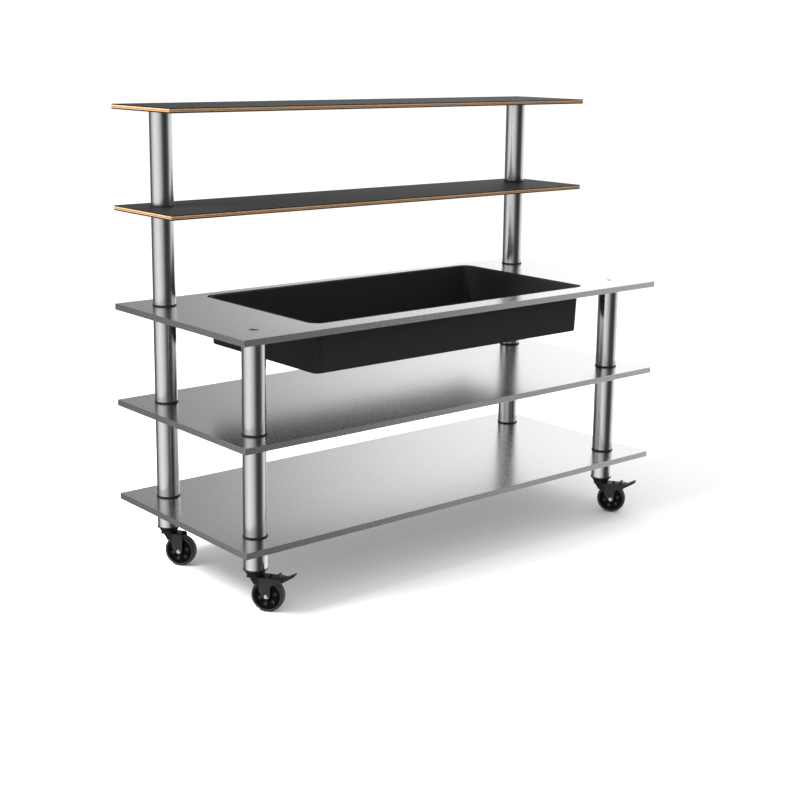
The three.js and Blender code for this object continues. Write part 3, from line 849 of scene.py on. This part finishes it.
_, foot, top = round_box("drain_nut")
nut = turned(softened([
    (DRAIN_HOLE, foot), (27, foot), (28.5, foot + 1.5), (28.5, top), (DRAIN_HOLE, top),
], {1: 0.8}))
lugs = repeated((27.5, -2.2, foot + 0.6), (30.5, 2.2, top - 0.2), LUGS, cap_plastic)
add_piece("drain_nut_with_lugs", join(nut, evaluated(lugs, bevelled(0.6))), cap_plastic,
          "lift_out_tub", ["drain_nut"], tub_place)
print("drain bars", BARS, "and nut lugs", LUGS)

# %% [markdown]
# ## Castor housings
# A castor's fork is pressed from one sheet: a round swivel head on top, a curved back that closes
# over the wheel, and two flat cheeks that come down to the axle. A box would lose that curve, which
# is most of what the eye reads. So the back is a grid of points: at each height a blunt-nosed curve
# runs from one cheek round to the other, meeting each at a crease. The cheeks are flat outlines,
# and the front castors' ones have a skirt forward over the wheel, which carries the brake pedal.
# The sheet gets its thickness last. All sizes here are from the kingpin along the trail, across,
# and up.

# %% The housing's sheet
CHEEK_OUTSIDE = 22  # across the castor, from its middle plane
CHEEK_SHEET = 3
CHEEK_BACK = 18  # along the trail, where the cheek turns into the curved back
CROWN_TOP = 111.5
BACK_TOP = (-27, CROWN_TOP)  # trail and height of the back's upper edge, on the middle plane
BACK_FOOT = (-8.5, 83)
BACK_CHEEK_FOOT = 70.5  # height of the back's lower edge where it meets the cheek
FOOT_SWEEP = 1.6  # how late the lower edge drops on its way to the cheek: 1 is a straight line
LEG = [(20.5, 64), (24, 58), (29, 50.5), (34, 44.5), (39, 41), (44, 40.5), (49, 43), (52.5, 48),
       (54.2, 56), (55, 70)]
SKIRT = [(55.3, 80), (57.5, 86), (62, 90), (72, 92.5), (87, 94.5), (90, 98), (90, CROWN_TOP)]
BARE = [(55.3, 80), (55.3, 104), (53, 109), (49, CROWN_TOP)]
NOSE = 0.35  # how blunt the back is: larger is rounder
ROWS, COLUMNS = 12, 24


def housing_sheet(braked):
    shape = bmesh.new()
    grid = []
    for j in range(ROWS + 1):
        share = j / ROWS
        row = []
        for i in range(COLUMNS + 1):
            along = i / COLUMNS
            low_z = BACK_FOOT[1] + (BACK_CHEEK_FOOT - BACK_FOOT[1]) * along**FOOT_SWEEP
            z = CROWN_TOP + (low_z - CROWN_TOP) * share
            fall = (CROWN_TOP - z) / (CROWN_TOP - BACK_FOOT[1])
            back = BACK_TOP[0] + (BACK_FOOT[0] - BACK_TOP[0]) * fall
            x = back + (CHEEK_BACK - back) * along
            y = -CHEEK_OUTSIDE * math.sqrt(along * (along + NOSE) / (1 + NOSE))
            row.append((x, y, z))
        grid.append(row)
    for side in (1, -1):
        points = [[shape.verts.new((x * MM, side * y * MM, z * MM)) for x, y, z in row]
                  for row in grid]
        for upper, lower in zip(points, points[1:]):
            for i in range(COLUMNS):
                shape.faces.new((upper[i], upper[i + 1], lower[i + 1], lower[i]))
        edge = [row[-1] for row in points]
        cheek = [shape.verts.new((x * MM, -side * CHEEK_OUTSIDE * MM, z * MM))
                 for x, z in LEG + (SKIRT if braked else BARE)]
        shape.faces.new(edge + cheek)
    bmesh.ops.remove_doubles(shape, verts=shape.verts, dist=1e-6)
    bmesh.ops.recalc_face_normals(shape, faces=shape.faces)
    outward = sum(face.normal.y * face.calc_center_median().y for face in shape.faces)
    if outward < 0:  # an open sheet has no inside, so its faces can come out either way round
        bmesh.ops.reverse_faces(shape, faces=shape.faces)
    thicken = ("SOLIDIFY", {"thickness": CHEEK_SHEET * MM, "offset": -1, "use_even_offset": True})
    return evaluated(shape, thicken, bevelled(0.5, 50))


print("housing back:", ROWS, "by", COLUMNS, "faces a side")

# %% [markdown]
# A flat plate closes the housing's top, with its corners rounded and its upper edge broken. The
# swivel head above it is a pressed cup over the ball race, turned in one profile with its rolled
# rim. The axle bolt's head and nut are separate pieces in bright zinc, because their glint marks
# the axle.

# %% Top plate, swivel head and axle bolt
PLATE_HALF_LENGTH, PLATE_HALF_WIDTH, PLATE_CORNER = 34.5, CHEEK_OUTSIDE - 0.4, 9
PLATE_MIDDLE = 10.5  # along the trail
PLATE_EDGE = 0.6
HEAD_PROFILE = [
    (0, 110), (24, 110), (26.5, 114), (28, 118), (30.2, 120.5), (31, 122), (31, 124),
    (30, 125.6), (27.5, 126.2), (26, 127.3), (0, 127.5),
]
BOLT_HEAD = [(0, 0), (5.9, 0), (6.3, 0.5), (6.3, 3.4), (5.2, 4.4), (0, 4.4)]
WASHER = [(0, -0.1), (6.8, -0.1), (6.8, 0.6), (0, 0.6)]
BOLT_END = [(0, 4.3), (3.2, 4.3), (3.2, 5.1), (2.6, 5.5), (0, 5.5)]
AXLE_RADIUS = 5


def top_plate():
    stack = ((0, CROWN_TOP - CHEEK_SHEET), (0, CROWN_TOP - PLATE_EDGE), (PLATE_EDGE, CROWN_TOP))
    return skinned([
        outline(PLATE_HALF_LENGTH - inset, PLATE_HALF_WIDTH - inset, PLATE_CORNER, z,
                Vector((PLATE_MIDDLE * MM, 0, 0)))
        for inset, z in stack
    ])


def hexagon_bolt(side):
    whole = join(turned(BOLT_HEAD, 6), turned(WASHER, 32), turned(BOLT_END, 24))
    facing = Matrix.Rotation(-side * math.pi / 2, 4, "X")
    whole.transform(Matrix.Translation((0, side * CHEEK_OUTSIDE * MM, 0)) @ facing)
    return whole


def cross_pin(radius, half):
    """A plain pin across the castor."""
    pin = turned([(0, -half), (radius, -half), (radius, half), (0, half)], 24)
    pin.transform(Matrix.Rotation(math.pi / 2, 4, "X"))
    return pin


print("bolt head", 2 * BOLT_HEAD[2][0], "mm across its corners")

# %% [markdown]
# Castor pieces are made round the kingpin, with the trail along X, and turned and moved to their
# corner. The kingpin is the leg's axis, and the axle is where the wheel's joint is. The cheeks'
# flats get the grey paint, and everything else on the housing gets a darker copy of it, painted
# shade.

# %% Where the castors are, and their housings
ON_CHEEK = 0.98  # how square across a face of the cheek is
SLACK = 0.5  # for telling the cheeks' faces from the back's

castor_place, axle_place = {}, {}
for corner in corners:
    kingpin = axis_of("leg_tube_" + corner)
    axle = Vector(joints["roll_" + corner]["pos_m"])
    heading = math.atan2(axle.y - kingpin.y, axle.x - kingpin.x)
    castor_place[corner] = Matrix.Translation(kingpin) @ Matrix.Rotation(heading, 4, "Z")
    trail = (axle - kingpin).to_2d().length
    axle_place[corner] = castor_place[corner] @ Matrix.Translation((trail, 0, axle.z))

for corner in corners:
    braked = "brake_" + corner in joints
    fork = join(housing_sheet(braked), top_plate(), turned(HEAD_PROFILE))
    fork.normal_update()
    for face in fork.faces:
        middle = face.calc_center_median() / MM
        across = (abs(face.normal.y) > ON_CHEEK
                  and abs(middle.y) > CHEEK_OUTSIDE - CHEEK_SHEET - SLACK)
        face.material_index = 0 if across and middle.x > CHEEK_BACK - SLACK else 1
    add_piece("housing_" + corner, fork, [fork_paint, shaded_fork_coat], "castor_" + corner,
              ["castor_fork_" + corner], castor_place[corner])
    bolt = join(hexagon_bolt(1), hexagon_bolt(-1), cross_pin(AXLE_RADIUS, CHEEK_OUTSIDE))
    add_piece("axle_bolt_" + corner, bolt, zinc, "castor_" + corner, place=axle_place[corner])
print("housings for", corners, "trail", round(trail / MM, 1), "mm")

# %% [markdown]
# ## Wheels
# The wheel centre is black plastic with six round pockets on each face, moulded to save weight. One
# tree turns a ball six times round the axle on each side and cuts it from the turned centre.

# %% A tree that cuts pockets round a wheel centre
hub_tree, given = new_tree(
    "pockets_round_a_wheel_centre", Count="Int", Pocket="Float", Circle="Float", Offset="Float",
    Phase="Float", Material="Material",
)
ball = add_node(hub_tree, "GeometryNodeMeshUVSphere",
                {"Segments": 28, "Rings": 16, "Radius": given["Pocket"]})
turns = turns_round(hub_tree, given["Count"], (0, 1, 0), given["Phase"])
cutters = []
for side in (-1, 1):
    away = add_node(hub_tree, "ShaderNodeMath", {0: given["Offset"], 1: side},
                    operation="MULTIPLY")
    shift = add_node(hub_tree, "ShaderNodeCombineXYZ",
                     {"X": given["Circle"], "Y": away.outputs[0]})
    moved = add_node(hub_tree, "GeometryNodeTransform",
                     {"Geometry": ball.outputs[0], "Translation": shift.outputs[0]})
    ring = add_node(hub_tree, "GeometryNodeInstanceOnPoints",
                    {"Instance": moved.outputs[0], **turns})
    cutters.append(add_node(hub_tree, "GeometryNodeRealizeInstances",
                            {"Geometry": ring.outputs[0]}))
cut = add_node(hub_tree, "GeometryNodeMeshBoolean", {"Mesh 1": given["Geometry"]},
               operation="DIFFERENCE", solver="EXACT")
for cutter in cutters:
    hub_tree.links.new(cutter.outputs[0], cut.inputs["Mesh 2"])
end_tree(hub_tree, cut.outputs["Mesh"], given["Material"])
print("pocket tree:", len(hub_tree.nodes), "nodes")

# %% [markdown]
# The two faces of a wheel are alike, so half a profile is drawn and mirrored. The pockets' faces
# are those that lie on one of the balls, and they get the lighter grey material, a painted highlight.
# The tyre is a band of grey-brown rubber with rounded shoulders.

# %% Wheel centres and tyres
POCKETS = 6
POCKET_RADIUS = 8
POCKET_CIRCLE = 25.5  # radius of the circle that their middles lie on
POCKET_OFFSET = 15.5  # from the wheel's middle plane
POCKET_PHASE = math.radians(-15)
POCKET_SLACK = 0.25  # a face's middle lies a little inside the ball
CENTRE_HALF = [(5.4, 17), (11.5, 17), (14, 15.5), (16, 12.5), (33.5, 12.5), (36, 14.5),
               (43, 14.5)]  # radius, and distance from the wheel's middle plane
TYRE_HALF = [(43.3, 15), (45, 15.8), (48, 16), (50.2, 14.6), (51.5, 12), (52, 8), (52, 0)]


def turned_about_axle(half, mirrored):
    shape = turned([(r, -y) for r, y in half] + [(r, y) for r, y in reversed(mirrored)])
    shape.transform(Matrix.Rotation(math.pi / 2, 4, "X"))
    return shape


def wheel_centre():
    half = softened(CENTRE_HALF, {1: 1.5, 2: 2, 3: 1.5, 4: 1.5, 5: 1.5}, 3)
    cut = evaluated(
        turned_about_axle(half, half), tree=hub_tree, Count=POCKETS, Pocket=POCKET_RADIUS * MM,
        Circle=POCKET_CIRCLE * MM, Offset=POCKET_OFFSET * MM, Phase=POCKET_PHASE,
        Material=hub_plastic,
    )
    for face in cut.faces:
        middle = face.calc_center_median() / MM
        for i in range(POCKETS):
            angle = POCKET_PHASE + 2 * math.pi * i / POCKETS
            ball = Vector((POCKET_CIRCLE * math.cos(angle), 0, -POCKET_CIRCLE * math.sin(angle)))
            ball.y = math.copysign(POCKET_OFFSET, middle.y)
            if abs((middle - ball).length - POCKET_RADIUS) < POCKET_SLACK:
                face.material_index = 1
    return cut


def tyre():
    half = softened(TYRE_HALF, {2: 1.6, 3: 2, 4: 2.5, 5: 3})
    return turned_about_axle(half, half[:-1])


for corner in corners:
    add_piece("wheel_centre_" + corner, wheel_centre(), [hub_plastic, pocket_with_painted_highlight],
              "wheel_" + corner, ["castor_hub_" + corner], axle_place[corner])
    add_piece("tyre_" + corner, tyre(), tyre_rubber, "wheel_" + corner,
              ["castor_tyre_" + corner], axle_place[corner])
print("wheels for", corners)

# %% [markdown]
# ## Brake pedals
# The front castors have a pedal between their cheeks: a flat arm with a cross ridge to push against
# and an upturned tip for the toe. It is one side outline given a width, with broken edges.

# %% Brake pedals
PEDAL = [
    (53, 112.5), (53, 108.5), (59, 104.5), (72, 104.5), (84, 97.5), (92, 98.5), (109, 108.5),
    (131, 122.5), (128, 125.5), (103, 112.5), (83, 112.5), (80, 120.5), (74, 120.5), (70, 112.5),
]
PEDAL_HALF_WIDTH = 16.5
PEDAL_EDGE = 0.8
HINGE = (62, 0, 106.5)  # the pin's middle: along the trail, across, up
HINGE_PIN, HINGE_HALF = 3, 21.6


def pedal_shape():
    shape = bmesh.new()
    sides = [[shape.verts.new((x * MM, y * MM, z * MM)) for x, z in PEDAL]
             for y in (-PEDAL_HALF_WIDTH, PEDAL_HALF_WIDTH)]
    bridge(shape, *sides)
    shape.faces.new(sides[0])
    shape.faces.new(sides[1])
    bmesh.ops.recalc_face_normals(shape, faces=shape.faces)
    pin = cross_pin(HINGE_PIN, HINGE_HALF)
    pin.transform(Matrix.Translation(Vector(HINGE) * MM))
    return join(evaluated(shape, bevelled(PEDAL_EDGE, 20, 3)), pin)


for corner in corners:
    if "brake_" + corner in joints:
        add_piece("pedal_lever_" + corner, pedal_shape(), pedal_plastic, "pedal_" + corner,
                  ["brake_pedal_" + corner], castor_place[corner])
        print("pedal on", corner)

# %% [markdown]
# ## Studio
# Polished steel shows its surroundings more than itself, so the studio is built for reflections: a
# bright white sweep behind and to the right, a big soft light to the left, and dark room behind the
# camera and in the gap at the back left. It is painted by bearing in the world's nodes, and only
# reflections see it. What lights the matt pieces, and the background, is an even white that falls
# off below the horizon.

# %% World
PEAK = 1.5
ABOVE, BELOW = 1.13, 0.3  # brightness of the even white, above the horizon and under it
HORIZON = (-0.2, -0.02)  # heights of a ray's direction between which one turns into the other
SURROUNDINGS = [  # bearing in degrees from +Y towards +X, and brightness
    (-180, 0.06), (-168, 0.09), (-156, 0.28), (-144, 0.6), (-128, 0.9), (-108, 1.15), (-88, 1.25),
    (-70, 1.08), (-55, 0.88), (-44, 0.62), (-36, 0.3), (-24, 0.14), (-6, 0.13), (8, 0.2),
    (20, 0.27), (28, 0.34), (33, 0.5), (37, 0.82), (41, 1.15), (46, 1.4), (54, 1.48), (64, 1.4),
    (84, 1.38), (100, 1.2), (112, 1.05), (122, 0.92), (130, 0.72), (135, 0.42), (141, 0.22),
    (150, 0.11), (160, 0.06), (180, 0.06),
]

world = bpy.data.worlds.new("studio")
bpy.context.scene.world = world
world.use_nodes = True
tree = world.node_tree
tree.nodes.clear()
direction = add_node(tree, "ShaderNodeTexCoord").outputs["Generated"]
axes = add_node(tree, "ShaderNodeSeparateXYZ", {"Vector": direction}).outputs
bearing = add_node(tree, "ShaderNodeMath", {0: axes["X"], 1: axes["Y"]}, operation="ARCTAN2")
share = add_node(tree, "ShaderNodeMapRange", {"Value": bearing.outputs[0], 1: -math.pi, 2: math.pi})
ramp = add_node(tree, "ShaderNodeValToRGB", {"Fac": share.outputs[0]})
stops = ramp.color_ramp.elements
for degrees, _ in SURROUNDINGS[1:-1]:
    stops.new((degrees + 180) / 360)
for stop, (_, brightness) in zip(stops, SURROUNDINGS):
    stop.color = [brightness / PEAK] * 3 + [1]
mirrored = add_node(tree, "ShaderNodeBackground",
                    {"Color": ramp.outputs["Color"], "Strength": PEAK})
sky = add_node(tree, "ShaderNodeMapRange",
               {"Value": axes["Z"], 1: HORIZON[0], 2: HORIZON[1], 3: BELOW, 4: ABOVE})
plain = add_node(tree, "ShaderNodeBackground",
                 {"Color": (1, 1, 1, 1), "Strength": sky.outputs["Result"]})
path = add_node(tree, "ShaderNodeLightPath").outputs
seen = add_node(tree, "ShaderNodeMath", {0: path["Is Camera Ray"], 1: path["Is Diffuse Ray"]},
                operation="ADD")
mixed = add_node(tree, "ShaderNodeMixShader",
                 {"Fac": seen.outputs[0], 1: mirrored.outputs[0], 2: plain.outputs[0]})
add_node(tree, "ShaderNodeOutputWorld", {"Surface": mixed.outputs[0]})
print("surroundings painted at", len(SURROUNDINGS), "bearings")

# %% [markdown]
# The floor is plain pale paper. Reflections don't see it, because in the steel it would wash out
# the painted surroundings, and it throws no light up under the decks. One soft light from the upper
# left gives the floor its shadow and the boards' left ends their brighter edge.

# %% Floor and light
FLOOR_HALF = 40  # metres
SOFTBOX_PLACE, SOFTBOX_AIM = Vector((-3.4, 0.6, 4.2)), Vector((0, 0, 0.6))
SOFTBOX_WIDTH, SOFTBOX_WATTS = 2.5, 420

floor_mesh = bpy.data.meshes.new("floor")
floor_shape = bmesh.new()
bmesh.ops.create_grid(floor_shape, x_segments=1, y_segments=1, size=FLOOR_HALF)
floor_shape.to_mesh(floor_mesh)
floor = new_object("floor", floor_mesh)
paper = finish("white_paper_sweep", 30, ("#fafafa", "#fcfcfc"), (0.85, 0.95), 0.01,
               Specular_IOR_Level=0.0)
floor_mesh.materials.append(paper)
floor.visible_glossy = False
floor.visible_diffuse = False

bpy.context.scene.view_settings.view_transform = "Standard"
lamp = bpy.data.lights.new("left_softbox", "AREA")
lamp.shape = "DISK"
lamp.size = SOFTBOX_WIDTH
lamp.energy = SOFTBOX_WATTS
light = new_object("left_softbox", lamp)
light.location = SOFTBOX_PLACE
light.rotation_euler = (SOFTBOX_AIM - SOFTBOX_PLACE).to_track_quat("-Z", "Y").to_euler()
light.visible_glossy = False
print("light:", light.name, lamp.energy, "watts")
